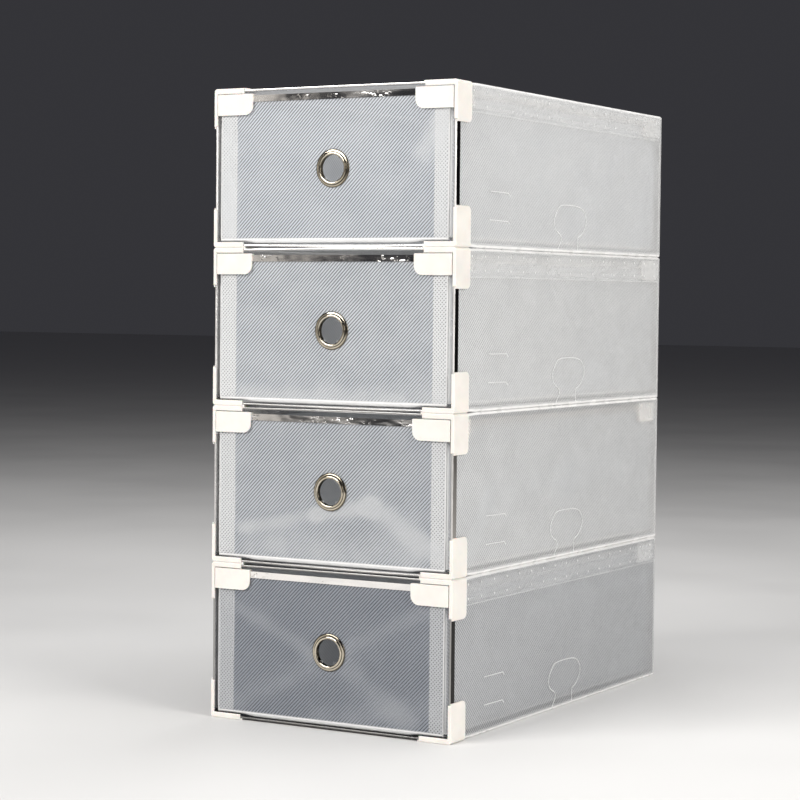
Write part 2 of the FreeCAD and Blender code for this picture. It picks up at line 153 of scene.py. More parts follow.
class Tree:
    """A material's node tree, with short ways to add to it."""

    def __init__(self, name):
        self.material = bpy.data.materials.new(name)
        self.material.use_nodes = True
        self.nodes = self.material.node_tree.nodes
        self.links = self.material.node_tree.links
        self.nodes.clear()

    def plug(self, socket, value):
        """Links value to the socket if it is a socket, and sets it otherwise."""
        if isinstance(value, bpy.types.NodeSocket):
            self.links.new(value, socket)
        else:
            socket.default_value = value

    def add(self, kind, inputs=None, **settings):
        """A new node of that kind, with its settings and inputs."""
        node = self.nodes.new("ShaderNode" + kind)
        for key, value in settings.items():
            setattr(node, key, value)
        for key, value in (inputs or {}).items():
            self.plug(node.inputs[key], value)
        return node

    def math(self, operation, *values):
        node = self.add("Math", operation=operation)
        for socket, value in zip(node.inputs, values):
            self.plug(socket, value)
        return node.outputs[0]

    def remap(self, value, low, high, to_low=0.0, to_high=1.0):
        """Value's smooth step from low to high, given as to_low to to_high."""
        node = self.add("MapRange", interpolation_type="SMOOTHSTEP")
        for socket, entry in zip(node.inputs, (value, low, high, to_low, to_high)):
            self.plug(socket, entry)
        return node.outputs[0]

    def blend(self, factor, a, b):
        """The colour a where factor is 0 and b where it is 1."""
        node = self.add("Mix", data_type="RGBA")
        for index, value in ((0, factor), (6, a), (7, b)):
            self.plug(node.inputs[index], value)
        return node.outputs[2]

    def read(self, label):
        """The value that the mesh carries under that label."""
        return self.add("Attribute", attribute_name=label).outputs["Fac"]

    def noise(self, vector, scale, detail=2.0, roughness=0.5):
        inputs = {"Vector": vector, "Scale": scale, "Detail": detail, "Roughness": roughness}
        return self.add("TexNoise", inputs).outputs["Fac"]

    def place(self, stretch=(1, 1, 1)):
        """The point on the piece, in its own frame, stretched along each axis."""
        source = self.add("TexCoord").outputs["Object"]
        return self.add("Mapping", {"Vector": source, "Scale": stretch}).outputs[0]

    def bump(self, height, distance, strength=1.0):
        return self.add("Bump", {"Height": height, "Distance": distance, "Strength": strength}).outputs[0]

    def finish(self, shader):
        self.add("OutputMaterial", {"Surface": shader})
        return self.material

    def finish_clear(self, opacity, shader):
        """Finishes with the shader where opacity is 1, and with nothing where it is 0."""
        hole = self.add("BsdfTransparent", {"Color": (1, 1, 1, 1)})
        return self.finish(self.add("MixShader", {0: opacity, 1: hole.outputs[0], 2: shader}).outputs[0])


def grey(level, warmth=0.0):
    """A near-neutral colour, warmer for a positive warmth and bluer for a negative one."""
    return (level * (1 + warmth), level, level * (1 - warmth), 1)


# ---- materials -------------------------------------------------------------------------------------------


def ribs(tree, slope="ADD"):
    """How high the sheet's ribs stand, 0 to 1. They run at 45 degrees to its folds, as on the flat sheet."""
    flat = tree.add("Attribute", attribute_name="flat").outputs["Vector"]
    across = tree.add("SeparateXYZ", {0: flat})
    run = tree.math(slope, across.outputs[0], across.outputs[1])
    wave = tree.math("FRACT", tree.math("DIVIDE", run, RIB_PITCH * math.sqrt(2) / MM))
    off_crest = tree.math("SUBTRACT", tree.math("MULTIPLY", wave, 2.0), 1.0)
    return tree.math("SUBTRACT", 1.0, tree.math("ABSOLUTE", off_crest))


def dimmed(tree, colour, dim):
    """The colour, darker and bluer by dim, 0 to 1."""
    shaded = tree.add("Mix", data_type="RGBA", blend_type="MULTIPLY")
    for index, value in ((0, dim), (6, colour), (7, DIM_COLOUR)):
        tree.plug(shaded.inputs[index], value)
    return shaded.outputs[2]


def ribbed_sheet(name, groove, crest, dot, clear, solid):
    """The ribbed face of the sheet. Clear and solid are how opaque its grooves and its crests are.

    Where a second layer backs it, the two layers' ribs cross and leave dots where groove meets groove.
    """
    tree = Tree(name)
    rib = ribs(tree)
    haze_and_sheen, edge, backed, dim = (tree.read(label) for label in ("haze_and_sheen", "edge", "backed", "dim"))
    crown = tree.remap(rib, *RIB_CREST)
    crossed = tree.math("MAXIMUM", crown, tree.remap(ribs(tree, "SUBTRACT"), *RIB_CREST))
    mottle = tree.noise(tree.place(), 45.0, 3.0)
    # soft: the sheet's milkiness and a painted highlight on its bowed and creased places, mottled at random
    soft = tree.remap(tree.math("ADD", haze_and_sheen, tree.remap(mottle, 0.3, 0.7, -0.12, 0.12)), 0.0, 1.0)
    colour = tree.blend(crown, groove, crest)
    dots = tree.blend(crossed, dot, grey(SHEET_WHITE))
    colour = tree.blend(tree.math("MULTIPLY", backed, 0.94), colour, dots)
    colour = tree.blend(tree.math("MULTIPLY", soft, 0.75), colour, grey(0.83, -0.01))
    dim = tree.math("MULTIPLY", dim, tree.math("SUBTRACT", 1.0, tree.math("MULTIPLY", haze_and_sheen, 0.25)))
    # edge: the white of creases and cut edges, and on the sleeve also its painted highlight and painted cap
    # show-through
    colour = tree.blend(edge, dimmed(tree, colour, dim), grey(SHEET_WHITE))
    opacity = tree.remap(crown, 0.0, 1.0, clear, solid)
    opacity = tree.math("ADD", opacity, tree.math("MULTIPLY", soft, 0.15))
    opacity = tree.math("ADD", opacity, tree.math("MULTIPLY", tree.math("MAXIMUM", dim, backed), 0.09))
    opacity = tree.math("MINIMUM", tree.math("ADD", opacity, tree.math("MULTIPLY", edge, 0.4)), 0.97)
    normal = tree.bump(tree.math("MULTIPLY", rib, tree.remap(edge, 0.0, 1.0, 1.0, 0.2)), 0.10 * MM, 0.6)
    gloss = {"Base Color": colour, "Roughness": tree.remap(mottle, 0.3, 0.7, 0.30, 0.42), "Normal": normal}
    face = tree.add("BsdfPrincipled", gloss)
    face.inputs["IOR"].default_value = SHEET_IOR
    behind = tree.add("BsdfTranslucent", {"Color": colour, "Normal": normal})
    body = tree.add("MixShader", {0: 0.40, 1: face.outputs[0], 2: behind.outputs[0]})
    return tree.finish_clear(opacity, body.outputs[0])


def plain_sheet():
    """The sheet's other face, which has no ribs and only a faint bloom of its own."""
    tree = Tree("sheet_plain_face")
    bloom = tree.noise(tree.place(), 60.0, 4.0)
    edge, dim = (tree.read(label) for label in ("edge", "dim"))
    colour = dimmed(tree, tree.blend(bloom, grey(0.72, -0.02), grey(0.86, -0.01)), dim)
    # edge: the white of creases and cut edges, and on the sleeve also its painted highlight and painted cap
    # show-through
    colour = tree.blend(edge, colour, grey(SHEET_WHITE, 0.01))
    roughness = tree.remap(bloom, 0.3, 0.7, 0.22, 0.36)
    face = tree.add("BsdfPrincipled", {"Base Color": colour, "Roughness": roughness})
    face.inputs["IOR"].default_value = SHEET_IOR
    opacity = tree.math("ADD", tree.remap(bloom, 0.3, 0.7, 0.16, 0.22), tree.math("MULTIPLY", edge, 0.55))
    return tree.finish_clear(opacity, face.outputs[0])


def stressed_sheet():
    """The white of the sheet where it is cut, creased or welded."""
    tree = Tree("sheet_white_edge")
    grain = tree.noise(tree.place(), 900.0, 3.0)
    colour = tree.blend(grain, grey(0.86), grey(SHEET_WHITE))
    normal = tree.bump(grain, 0.05 * MM, 0.5)
    face = tree.add("BsdfPrincipled", {"Base Color": colour, "Normal": normal})
    face.inputs["Roughness"].default_value = 0.4
    behind = tree.add("BsdfTranslucent", {"Color": colour})
    body = tree.add("MixShader", {0: 0.35, 1: face.outputs[0], 2: behind.outputs[0]})
    return tree.finish_clear(tree.remap(grain, 0.3, 0.7, 0.72, 0.86), body.outputs[0])


def steel_strip(name, stretch, shade, unevenness, satin=0.0, dents=0.0, legs=None):
    """Thin polished stainless: long shallow waves from the rolling and folding, with faint brushing along it.

    Satin adds to its roughness, and dents is the depth of its scattered small dents. Legs gives an upright
    strip a shade painted on its satin front, set box by box, and a painted dark reflection on its
    outermost leg.
    """
    tree = Tree(name)
    waves = tree.noise(tree.place(stretch), 60.0, 3.0, 0.6)
    smear = tree.noise(tree.place(stretch), 110.0, 4.0)
    colour = tree.blend(tree.remap(smear, 0.35, 0.65), grey(shade, 0.02), grey(shade * 1.18, 0.03))
    roughness = tree.remap(smear, 0.3, 0.7, 0.07 + satin, 0.17 + satin)
    height = waves
    if dents:
        where = tree.remap(tree.noise(tree.place((1, 1, 1)), 26.0, 1.0), 0.45, 0.6)
        pits = tree.remap(tree.noise(tree.place((0.6, 1, 1)), 420.0, 2.0), 0.55, 0.66)
        depth = tree.math("MULTIPLY", tree.math("MULTIPLY", where, pits), dents / unevenness)
        height = tree.math("ADD", waves, depth)
    if legs:
        # Painted light: the front takes a shade painted box by box, besides more roughness, and the outermost
        # leg a painted dark reflection
        facing = tree.add("SeparateXYZ", {0: tree.add("TexCoord").outputs["Normal"]}).outputs[1]
        front = tree.remap(tree.math("ABSOLUTE", facing), 0.25, 0.6)
        away = tree.add("SeparateXYZ", {0: tree.place()}).outputs[0]
        start, full = (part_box("box1_mouth_strip_sides")[1].x - inside for inside in LEG_FADE)
        leg = tree.remap(tree.math("ABSOLUTE", away), start, full)
        colour = tree.blend(front, colour, grey(legs[0], 0.02))
        colour = tree.blend(leg, colour, grey(legs[1], 0.06))
        roughness = tree.math("ADD", roughness, tree.math("MULTIPLY", front, 0.22))
    inputs = {
        "Base Color": colour,
        "Roughness": roughness,
        "Normal": tree.bump(height, unevenness, 1.0),
    }
    metal = tree.add("BsdfPrincipled", inputs)
    metal.inputs["Metallic"].default_value = 1.0
    return tree.finish(metal.outputs[0])


def corner_plastic():
    """Warm white moulded plastic with a fine moulded grain and slight sinks."""
    tree = Tree("corner_plastic")
    grain = tree.noise(tree.place(), 1800.0, 2.0)
    sinks = tree.noise(tree.place(), 90.0, 2.0)
    colour = tree.blend(tree.remap(sinks, 0.3, 0.7), (0.745, 0.713, 0.672, 1), (0.79, 0.757, 0.713, 1))
    height = tree.math("ADD", sinks, tree.math("MULTIPLY", grain, 0.06))
    inputs = {
        "Base Color": colour,
        "Roughness": tree.remap(sinks, 0.3, 0.7, 0.34, 0.46),
        "Normal": tree.bump(height, 0.25 * MM, 0.7),
    }
    face = tree.add("BsdfPrincipled", inputs)
    face.inputs["IOR"].default_value = 1.5
    face.inputs["Subsurface Weight"].default_value = 0.15
    face.inputs["Subsurface Scale"].default_value = 1.0 * MM
    return tree.finish(face.outputs[0])


def ring_metal():
    """Champagne nickel plate with a little tarnish, and painted shade in its groove, at its bore and at its
    outer edge.
    """
    tree = Tree("ring_metal")
    tarnish = tree.noise(tree.place(), 140.0, 4.0)
    colour = tree.blend(tree.remap(tarnish, 0.4, 0.7), (0.56, 0.51, 0.42, 1), (0.47, 0.42, 0.33, 1))
    low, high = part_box("box1_finger_ring")
    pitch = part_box("box2_finger_ring")[0].z - low.z
    across, _, up = tree.add("SeparateXYZ", {0: tree.place()}).outputs
    up = tree.math("SUBTRACT", tree.math("FLOORED_MODULO", up, pitch), (low.z + high.z) / 2)
    radius = tree.math("SQRT", tree.math("ADD", tree.math("POWER", across, 2.0), tree.math("POWER", up, 2.0)))
    off_groove = tree.math("ABSOLUTE", tree.math("SUBTRACT", radius, RING_GROOVE))
    # Painted shade: dark bands in the groove round the bead, at the bore and along the flange's outer edge
    in_groove = tree.remap(off_groove, 0.12 * MM, 0.42 * MM, 0.9, 0.0)
    at_edge = tree.remap(radius, high.x - 1.1 * MM, high.x - 0.4 * MM, 0.0, 0.88)
    at_bore = tree.remap(radius, RING_BORE + 0.05 * MM, RING_BORE + 0.3 * MM, 0.9, 0.0)
    painted_shade = tree.math("MAXIMUM", tree.math("MAXIMUM", in_groove, at_edge), at_bore)
    colour = tree.blend(painted_shade, colour, (0.07, 0.055, 0.035, 1))
    inputs = {
        "Base Color": colour,
        "Roughness": tree.remap(tarnish, 0.3, 0.7, 0.08, 0.18),
        "Normal": tree.bump(tarnish, 0.03 * MM, 0.5),
    }
    metal = tree.add("BsdfPrincipled", inputs)
    metal.inputs["Metallic"].default_value = 1.0
    return tree.finish(metal.outputs[0])


def pale_floor():
    tree = Tree("pale_floor")
    cloud = tree.noise(tree.place(), 3.0, 4.0)
    colour = tree.blend(cloud, grey(0.62, 0.01), grey(0.68, 0.01))
    roughness = tree.remap(cloud, 0.3, 0.7, 0.5, 0.65)
    face = tree.add("BsdfPrincipled", {"Base Color": colour, "Roughness": roughness})
    return tree.finish(face.outputs[0])


# ---- sheet geometry --------------------------------------------------------------------------------------


def spaced(start, end, step, marks=()):
    """Places from start to end about a step apart, as (place, whiteness): white at the creased or cut ends.

    Marks are places where a look changes at once, so each gets a place on either side of it.
    """
    way = math.copysign(1, end - start)
    band = min(EDGE_BAND, abs(end - start) / 3)
    inner_start, inner_end = start + way * band, end - way * band
    count = max(1, round(abs(inner_end - inner_start) / step))
    inner = [inner_start + (inner_end - inner_start) * k / count for k in range(count + 1)]
    inner += [mark + shift for mark in marks for shift in (-MARK_WIDTH / 2, MARK_WIDTH / 2)]
    least, most = sorted((inner_start, inner_end))
    inner = sorted(place for place in inner if least <= place <= most)
    return [(start, 1.0)] + [(place, 0.0) for place in inner[:: int(way)]] + [(end, 1.0)]


def folded_line(corners, step=GRID_STEP, marks=(), radius=FOLD_RADIUS):
    """Points along a polyline with right-angled folds, as (point, length so far, whiteness).

    Marks are heights where a look changes at once.
    """
    corners = [Vector(corner) for corner in corners]
    line = []

    def run(start, end):
        way, length = (end - start).normalized(), (end - start).length
        crossed = [(mark - start.y) / way.y for mark in marks] if abs(way.y) > 0.9 else []
        for place, white in spaced(0, length, step, crossed):
            line.append((start + way * place, white))

    here = corners[0]
    for before, corner, after in zip(corners, corners[1:], corners[2:]):
        into, out = (corner - before).normalized(), (after - corner).normalized()
        run(here, corner - into * radius)
        centre = corner + (out - into) * radius
        for k in range(1, FOLD_STEPS):
            angle = math.pi / 2 * k / FOLD_STEPS
            point = centre - out * radius * math.cos(angle) + into * radius * math.sin(angle)
            line.append((point, min(1.0, FOLD_RADIUS / radius)))
        here = corner + out * radius
    run(here, corners[-1])

    points, length = [], 0.0
    for index, (point, white) in enumerate(line):
        if index:
            length += (point - line[index - 1][0]).length
        points.append((point, length, white))
    return points


def solid_piece(name, parts, material, sharp=40):
    """One object from closed parts, each its places and faces, shaded smooth but for its sharp edges."""
    places, faces = [], []
    for part_places, part_faces in parts:
        first = len(places)
        places += part_places
        faces += [tuple(first + index for index in face) for face in part_faces]
    mesh = bpy.data.meshes.new(name)
    mesh.from_pydata(places, [], faces)
    shell = bmesh.new()
    shell.from_mesh(mesh)
    bmesh.ops.recalc_face_normals(shell, faces=shell.faces)
    shell.to_mesh(mesh)
    shell.free()
    mesh.polygons.foreach_set("use_smooth", [True] * len(mesh.polygons))
    mesh.set_sharp_from_angle(angle=math.radians(sharp))
    mesh.materials.append(material)
    piece = bpy.data.objects.new(name, mesh)
    bpy.context.scene.collection.objects.link(piece)
    return piece


def sweep(outline, stations):
    """A closed outline of (u, v) carried along stations of (place, u direction, v direction)."""
    places = [place + across * u + up * v for place, across, up in stations for u, v in outline]
    count, faces = len(outline), []
    for i in range(len(stations) - 1):
        for j in range(count):
            k = (j + 1) % count
            faces.append((i * count + j, i * count + k, (i + 1) * count + k, (i + 1) * count + j))
    faces.append(tuple(range(count)))
    faces.append(tuple(range(len(places) - count, len(places))))
    return places, faces


def dome(centre, out, radius, height):
    """A shallow round blister on a surface that faces out, with its foot sunk a little into the surface."""
    side = out.orthogonal().normalized()
    over = out.cross(side)
    steps, sunk, places, faces = 8, 0.2, [], []
    for share, lift in ((1.0, -sunk), (0.72, 0.55)):
        for k in range(steps):
            angle = 2 * math.pi * k / steps
            reach = (side * math.cos(angle) + over * math.sin(angle)) * radius * share
            places.append(centre + reach + out * height * lift)
    places += [centre + out * height, centre - out * height * sunk]
    for k in range(steps):
        n = (k + 1) % steps
        faces += [(k, n, steps + n, steps + k), (steps + k, steps + n, 2 * steps), (n, k, 2 * steps + 1)]
    return places, faces


def rounded(points, rounds=2):
    """The polyline with its corners cut into curves."""
    points = [Vector(point) for point in points]
    for _ in range(rounds):
        cut = [points[0]]
        for a, b in zip(points, points[1:]):
            cut += [a.lerp(b, 0.25), a.lerp(b, 0.75)]
        points = cut + [points[-1]]
    return points


class Sheet:
    """Gathers the panels of one sheet: where each vertex is, and where it lay before the sheet was folded."""

    def __init__(self, dim=0.0):
        self.places, self.flats, self.faces = [], [], []
        self.looks = {"edge": [], "haze_and_sheen": [], "backed": [], "dim": []}
        self.dim = dim

    def panel(self, rows, pierced=lambda place: False):
        """Adds a grid of rows of (place, flat place, edge, haze, backed); its faces look to its ribbed side.

        Faces that lie wholly where pierced is true are left out.
        """
        first, width = len(self.places), len(rows[0])
        for row in rows:
            for place, flat, edge, haze_and_sheen, backed in row:
                self.places.append(place)
                self.flats.append(flat)
                self.looks["edge"].append(edge)
                self.looks["haze_and_sheen"].append(haze_and_sheen)
                self.looks["backed"].append(backed)
                self.looks["dim"].append(self.dim * (1 - DIM_SPARED * backed))
        for i in range(len(rows) - 1):
            for j in range(width - 1):
                at = first + i * width + j
                face = (at, at + 1, at + width + 1, at + width)
                if not all(pierced(self.places[index]) for index in face):
                    self.faces.append(face)

    def build(self, name, materials):
        """Makes the thick sheet. Materials are for its ribbed face, its plain face and its cut edges."""
        mesh = bpy.data.meshes.new(name)
        mesh.from_pydata(self.places, [], self.faces)
        flat = mesh.attributes.new("flat", "FLOAT_VECTOR", "POINT")
        for item, value in zip(flat.data, self.flats):
            item.vector = (value[0] / MM, value[1] / MM, 0)
        for label, values in self.looks.items():
            mesh.attributes.new(label, "FLOAT", "POINT").data.foreach_set("value", values)
        for material in materials:
            mesh.materials.append(material)
        mesh.polygons.foreach_set("use_smooth", [True] * len(mesh.polygons))
        piece = bpy.data.objects.new(name, mesh)
        bpy.context.scene.collection.objects.link(piece)
        solid = piece.modifiers.new("thickness", "SOLIDIFY")
        solid.thickness = SHEET
        solid.offset = 0
        solid.material_offset = 1
        solid.material_offset_rim = 2
        return piece


def bulge(u, v=0.5):
    """A pillow over the unit square, nothing at its edges."""
    return math.sin(math.pi * min(max(u, 0), 1)) * math.sin(math.pi * min(max(v, 0), 1))


def ripple(place, seed, size=55 * MM):
    """A slow unevenness, about -1 to 1."""
    return noise.noise(place / size + Vector((seed * 7.3, seed * 3.1, seed * 5.7)))


# ---- where things are in one box -------------------------------------------------------------------------


class Box:
    """The places of one box's parts, all read from its CAD nodes."""

    def __init__(self, number):
        self.number = number
        self.name = f"box{number}"
        self.sleeve = self.node("sleeve")
        self.tray = self.node("drawer_tray")
        self.front = self.node("bracket_bottom_left")[0].y
        self.floor = self.node("bracket_bottom_left")[0].z
        self.top = self.node("bracket_top_left")[1].z
        self.mouth = (self.node("mouth_strip_bottom")[0], self.node("mouth_strip_top")[1])
        self.mouth_low = self.mouth[0].z + METAL
        self.mouth_high = self.mouth[1].z - METAL

    def node(self, name):
        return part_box(f"{self.name}_{name}")

    def side_bow(self, y, z):
        """How far the sleeve's side stands out of flat at a place given in the frame."""
        low, high = self.sleeve
        share = (y - low.y) / (high.y - low.y)
        wave = ripple(Vector((high.x, y, z)), self.number)
        rise = (z - self.mouth_low) / (self.mouth_high - self.mouth_low)
        return bulge(share, rise) * (SIDE_BOW + SIDE_WAVE * wave) * MM


# ---- milkiness and painted sheen: where a panel is bowed or creased, it is painted milkier and brighter ---


def band(point, start, end, half_width):
    """1 on the line from start to end, falling to 0 at half_width from it."""
    point, start, end = Vector(point), Vector(start), Vector(end)
    along = (point - start).dot(end - start) / (end - start).length_squared
    nearest = start + (end - start) * min(max(along, 0), 1)
    away = min((point - nearest).length / half_width, 1)
    return (1 - away * away) ** 2


def haze_and_sheen_at(creases, across, up):
    """How milky and bright a panel's creases are painted at a point in metres; creases are in millimetres."""
    point = (across / MM, up / MM)
    return min(sum(strength * band(point, start, end, width) for start, end, width, strength in creases), 1.0)


# Along these creases the sheet is painted milkier and brighter, its own milkiness and a painted highlight in
# one.
# Creases of each drawer's front as (start, end, half width, strength), from its centre and its box's base
FRONT_CREASES = {
    1: [
        ((-78, 78), (-14, 50), 9, 0.5),
        ((14, 56), (72, 84), 10, 0.42),
        ((-12, 42), (-72, 12), 13, 0.42),
        ((12, 42), (60, 8), 15, 0.5),
        ((-10, 6), (84, 20), 16, 0.4),
    ],
    2: [
        ((-70, 24), (-10, 36), 8, 0.65),
        ((-10, 36), (30, 43), 10, 0.8),
        ((30, 43), (84, 14), 13, 0.75),
        ((-60, 12), (62, 14), 20, 0.5),
    ],
    3: [((-66, 6), (84, 4), 17, 0.6)],
    4: [
        ((84, 84), (66, 60), 14, 0.6),
        ((-80, 40), (-80, 10), 14, 0.5),
        ((80, 84), (80, 12), 9, 0.6),
        ((-82, 84), (-82, 12), 9, 0.6),
    ],
}
# Creases of each sleeve's sides, painted milkier and brighter, from its box's front and base
SIDE_CREASES = {
    1: [((120, 78), (322, 86), 24, 0.5), ((250, 10), (322, 60), 30, 0.35)],
    2: [((10, 0), (52, 45), 16, 0.55), ((52, 50), (170, 52), 26, 0.5), ((170, 52), (310, 60), 34, 0.5)],
    3: [((12, 12), (310, 16), 24, 0.45), ((200, 30), (318, 60), 34, 0.5)],
    4: [((160, 10), (250, 70), 32, 0.4), ((280, 8), (316, 80), 30, 0.5)],
}


# ---- the sleeve ------------------------------------------------------------------------------------------


def sleeve_sheet(box, materials):
    """The outer sheet: seam flap, top, sides and floor in one piece, and the closed back."""
    sheet = Sheet(DIMNESS[box.number] * SLEEVE_DIM)
    low, high = box.sleeve
    side = SEAM_SIDE[box.number]
    x = high.x - SHEET / 2
    bottom, top = box.mouth_low + SHEET / 2, box.mouth_high - SHEET / 2
    middle, half = (bottom + top) / 2, (top - bottom) / 2
    flare = box.top - SHEET / 2 - top
    seam = top - SEAM_HEIGHT
    cap_low, cap_high = box.node("drawer_rear_caps")
    section = [
        ((x - SHEET) * side, seam),
        ((x - SHEET) * side, top),
        (-x * side, top),
        (-x * side, bottom),
        (x * side, bottom),
        (x * side, top - SHEET),
    ]
    line = folded_line(section, marks=(seam, bottom + PAINTED_GLOW_HEIGHT, cap_low.z, cap_high.z))
    rows = []
    for y, white in spaced(low.y, high.y, GRID_STEP, (cap_low.y, cap_high.y)):
        opened = max(0.0, (y - box.mouth[1].y) / (high.y - box.mouth[1].y))
        opened = max(opened, SETTLED * min(max((y - box.mouth[1].y) / SETTLED_RUN, 0.0), 1.0))
        length_share = (y - low.y) / (high.y - low.y)
        row = []
        for point, run, fold in line:
            height = (point.y - middle) / half
            place = Vector((point.x, y, point.y + flare * opened * height))
            level = bulge(length_share, (point.x + x) / (2 * x))
            upright = abs(point.x) > x - SHEET - FOLD_RADIUS
            place.x += math.copysign(1, point.x) * box.side_bow(y, point.y) * upright
            place.z -= level * (LEVEL_SAG + LEVEL_WAVE * ripple(place, box.number)) * MM
            place.z = max(place.z, SHEET / 2)
            haze_and_sheen = LEVEL_HAZE
            if upright:
                haze_and_sheen = haze_and_sheen_at(SIDE_CREASES[box.number], y - box.front, point.y - box.floor)
            backed = float(point.x * side > x - SHEET / 4 and point.y > seam)
            # Painted light: a painted highlight along the sides' lower edge, carried in the edge whiteness
            painted_light = PAINTED_GLOW * (1 - (point.y - bottom) / PAINTED_GLOW_HEIGHT) if abs(point.x) > x - SHEET / 2 else 0.0
            # A paler square painted on the sides where the drawer's rear caps would show through
            if upright and cap_low.y < y < cap_high.y and cap_low.z < point.y < cap_high.z:
                painted_light = CAP_SHOW
            row.append((place, (run * side, y), max(white, fold, painted_light), haze_and_sheen, backed))
        rows.append(row if side > 0 else row[::-1])
    sheet.panel(rows)
    back_panel(sheet, box, x)
    return sheet.build(f"{box.name}_sleeve_sheet", materials)


def plate(sheet, y, left, right, low, high, cut=0.0, cut_side=0):
    """A flat upright plate facing the rear; its edge on cut_side is shortened by cut at both ends."""
    rows = []
    marks = (BACK_FLAP - right, right - BACK_FLAP) if not cut else ()
    for z, white in spaced(low, high, GRID_STEP):
        row = []
        for x, side_white in spaced(right, left, GRID_STEP, marks):
            share = (x - left) / (right - left)
            inset = cut * (share if cut_side > 0 else 1 - share)
            middle = (low + high) / 2
            place = Vector((x, y, middle + (z - middle) * (1 - 2 * inset / (high - low))))
            backed = float(not cut and abs(x) > right - BACK_FLAP)
            row.append((place, (x, z), max(white, side_white), BACK_HAZE, backed))
        rows.append(row)
    sheet.panel(rows)


def back_panel(sheet, box, x):
    """The closed back: a full panel, with the two side flaps folded in behind it."""
    rear = box.sleeve[1].y
    low, high = box.floor + SHEET, box.top - SHEET
    inner = x - SHEET / 2
    plate(sheet, rear - SHEET / 2, -inner, inner, low, high)
    flap_y = rear - BACK_FLAP_DEPTH * SHEET
    plate(sheet, flap_y, inner - BACK_FLAP, inner, low, high, BACK_FLAP_CHAMFER, -1)
    plate(sheet, flap_y, -inner, BACK_FLAP - inner, low, high, BACK_FLAP_CHAMFER, 1)


def cut_lines(box, material):
    """The white lips of the die cuts on both sides: two short slits and a tongue."""
    c, (top, belly, waist, foot) = TAB_CENTRE, TAB_WIDTHS
    left = [(c - foot, 2), (c - waist, 10.6), (c - belly + 3, 15), (c - belly, 22)]
    crown = [(c - top - 5, 30), (c - top, 32.5), (c + top - 4, 32.5), (c + belly - 5, 30)]
    right = [(c + belly, 22), (c + belly - 6, 14), (c + waist, 10.6)]
    tab = rounded(left + crown + right) + [Vector((c + waist, 2))]
    slits = [[(SLIT_START, z), (SLIT_END, z - 0.3), (SLIT_END + 2, z - 2.2)] for z in SLIT_HEIGHTS]
    parts = []
    for side in (-1, 1):
        for path in [tab] + slits:
            stations = []
            for index, (y, z) in enumerate(path):
                before, after = path[max(index - 1, 0)], path[min(index + 1, len(path) - 1)]
                along = Vector((0, after[0] - before[0], after[1] - before[1])).normalized()
                y, z = box.front + y * MM, box.floor + z * MM
                place = Vector((side * (box.sleeve[1].x + box.side_bow(y, z)), y, z))
                stations.append((place, Vector((side, 0, 0)), along.cross(Vector((side, 0, 0)))))
            ring = [math.pi * k / 3 for k in range(6)]
            outline = [(math.cos(angle) * LIP_HEIGHT, math.sin(angle) * LIP_WIDTH) for angle in ring]
            parts.append(sweep(outline, stations))
    return solid_piece(f"{box.name}_cut_lines", parts, material)


def weld_spots(box, material):
    """Two rows of spot welds along the sleeve's seam."""
    side = SEAM_SIDE[box.number]
    parts = []
    for row in WELD_ROWS:
        for k in range(WELD_COUNT):
            y, z = box.front + WELD_START + k * WELD_PITCH, box.top - row
            centre = Vector((side * (box.sleeve[1].x + box.side_bow(y, z)), y, z))
            parts.append(dome(centre, Vector((side, 0, 0)), WELD_RADIUS, WELD_HEIGHT))
    return solid_piece(f"{box.name}_weld_spots", parts, material, 80)


# ---- the steel round the mouth ---------------------------------------------------------------------------


def strip_outline(width, depth):
    """A folded strip's closed outline as (outward, back), from its outer front corner.

    Its face is slightly crowned between two round folds, and its two legs run back round the sheet.
    """
    half, steps = METAL / 2, 4
    turn = [math.pi / 2 * k / steps for k in range(steps + 1)]
    radius = STRIP_FOLD - half
    outer, inner = -half - radius, -width + half + radius
    line = [(-half, depth)]
    line += [(outer + radius * math.cos(a), STRIP_CROWN + half + radius * (1 - math.sin(a))) for a in turn]
    shares = [k / 6 for k in range(1, 6)]
    line += [(outer + (inner - outer) * t, half + STRIP_CROWN * (1 - 4 * t * (1 - t))) for t in shares]
    line += [(inner - radius * math.sin(a), STRIP_CROWN + half + radius * (1 - math.cos(a))) for a in turn]
    line += [(-width + half, depth)]
    outer_face, inner_face = [], []
    for index, point in enumerate(line):
        before, after = line[max(index - 1, 0)], line[min(index + 1, len(line) - 1)]
        along = (Vector(after) - Vector(before)).normalized()
        out = Vector((along.y, -along.x)) * half
        outer_face.append(Vector(point) - out)
        inner_face.append(Vector(point) + out)
    return outer_face + inner_face[::-1]


